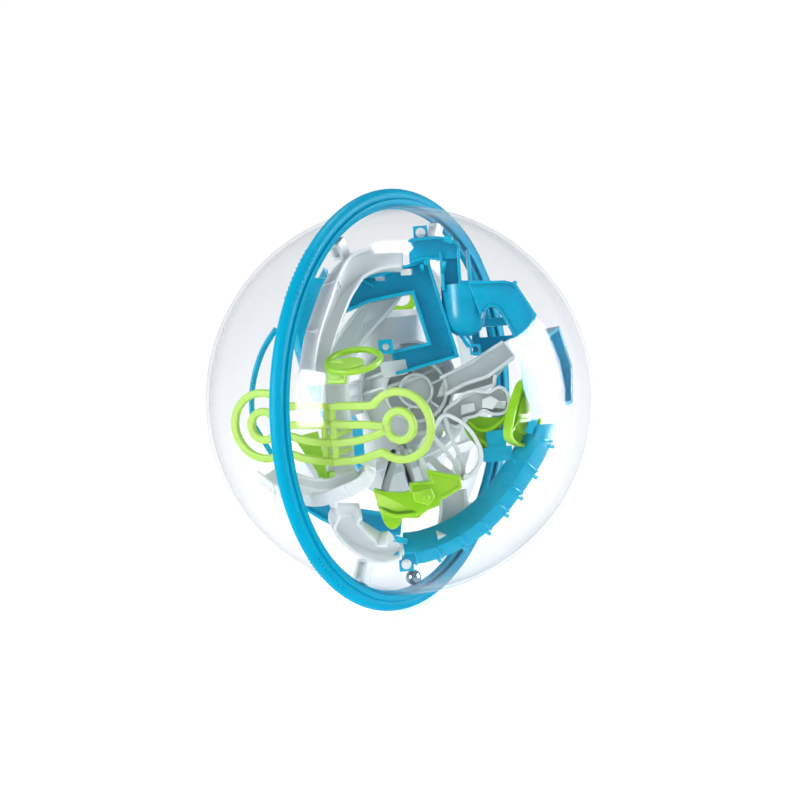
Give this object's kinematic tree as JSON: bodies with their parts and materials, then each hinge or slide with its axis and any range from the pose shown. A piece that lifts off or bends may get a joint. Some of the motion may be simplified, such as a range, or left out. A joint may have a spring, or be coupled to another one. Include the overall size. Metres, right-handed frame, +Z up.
{
  "type": "tilt maze game",
  "caption": "Clear ball in a blue grip rim, holding a three-dimensional maze of blue, white and green plastic tracks and one loose steel ball.",
  "frame": {"origin": "centre of the clear ball, which is also the centre of the grip rim", "axes": "+Y along the rim's axis, from the near half to the far half; +Z up, through the rim's top; +X right when seen from the near half"},
  "size_m": [0.213, 0.196, 0.213],
  "materials": {
    "clear_shell": "clear polished moulded plastic",
    "rim_blue": "gloss moulded plastic",
    "track_blue": "semi-gloss moulded plastic",
    "track_white": "semi-gloss moulded plastic",
    "rail_green": "gloss moulded plastic",
    "steel": "polished ball"
  },
  "bodies": {
    "maze": {"shell_near": "clear_shell", "shell_far": "clear_shell", "rim_near": "rim_blue", "rim_far": "rim_blue", "white_track_top": "track_white", "post_top": "track_white", "post_bottom": "track_white", "post_far_top": "track_white", "post_far_bottom": "track_white", "blue_track_top": "track_blue", "blue_column": "track_blue", "blue_cup": "track_blue", "blue_shelf": "track_blue", "blue_track_upper": "track_blue", "blue_basin": "track_blue", "blue_track_right": "track_blue", "white_track_bottom": "track_white", "white_bowl": "track_white", "green_rails": "rail_green", "green_oval": "rail_green", "white_ladder": "track_white", "blue_square_track": "track_blue", "hub_core": "track_white", "hub_drum": "track_white", "hub_ramp": "track_white", "hub_arm_track": "track_white", "hub_platform": "track_white", "hub_legs": "track_white", "white_paddle": "track_white", "green_wave": "rail_green", "green_wave_lower": "rail_green", "green_saddle": "rail_green", "green_leaf": "rail_green", "green_wedge": "rail_green", "white_short_track": "track_white", "blue_arc": "track_blue", "blue_crosspiece": "track_blue", "blue_low_track": "track_blue", "far_blue_track": "track_blue", "far_white_track": "track_white", "far_green_rails": "rail_green", "far_white_steps": "track_white", "clip_top": "track_blue", "clip_bottom": "track_blue", "clip_middle": "track_blue", "clip_right": "track_blue", "peg_top": "track_white", "peg_bottom": "track_white", "peg_oval": "track_white"},
    "ball": {"steel_ball": "steel"}
  },
  "joints": [
    {"name": "ball_roll", "type": "hinge", "parent": "maze", "child": "ball", "pos_m": [0, 0, 0], "axis": [0, 1, 0], "range_deg": [-16, 24]}
  ]
}
